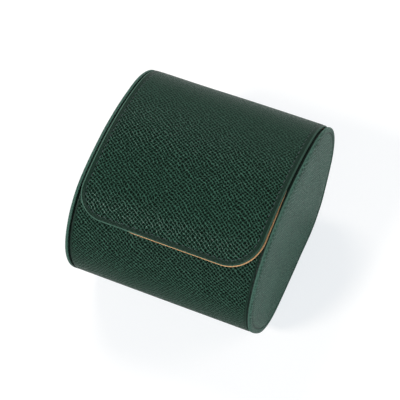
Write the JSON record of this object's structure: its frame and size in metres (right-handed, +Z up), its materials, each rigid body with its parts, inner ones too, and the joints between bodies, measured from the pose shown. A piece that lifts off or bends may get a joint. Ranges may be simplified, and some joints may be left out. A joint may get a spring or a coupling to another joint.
{
  "type": "watch travel case",
  "caption": "Oval leather travel case for one wristwatch, with a hinged magnetic flap, padded end caps and a loose oval cushion inside.",
  "frame": {"origin": "centre of the base, on the surface the case stands on", "axes": "+X along the length from the left end cap to the right one, +Y to the hinged back, +Z up"},
  "size_m": [0.0966, 0.11, 0.0842],
  "materials": {
    "leather": "grained, semi-matte",
    "suede": "suede",
    "board": "matte",
    "foam": "matte",
    "magnet": "plated"
  },
  "bodies": {
    "case": {"shell_leather": "leather", "shell_board": "board", "shell_lining": "suede", "wall_magnet_left": "magnet", "wall_magnet_right": "magnet", "left_end_board": "board", "left_end_lining": "suede", "left_end_plate": "board", "left_end_pad": "foam", "left_end_cover": "leather", "right_end_board": "board", "right_end_lining": "suede", "right_end_plate": "board", "right_end_pad": "foam", "right_end_cover": "leather", "hinge_leather": "leather", "hinge_lining": "suede"},
    "flap": {"flap_leather": "leather", "flap_board": "board", "flap_lining": "suede", "flap_magnet_left": "magnet", "flap_magnet_right": "magnet"},
    "cushion": {"cushion_core": "foam", "cushion_cover": "suede", "cushion_oval_left": "leather", "cushion_oval_right": "leather"}
  },
  "joints": [
    {"name": "flap_hinge", "type": "hinge", "parent": "case", "child": "flap", "pos_m": [0, 0.05462, 0.0498], "axis": [-1, 0, 0], "range_deg": [0, 180], "deforming": ["hinge_leather", "hinge_lining"]},
    {"name": "cushion_lift", "type": "slide", "parent": "case", "child": "cushion", "axis": [0, 0, 1], "range_m": [0, 0.027]}
  ]
}
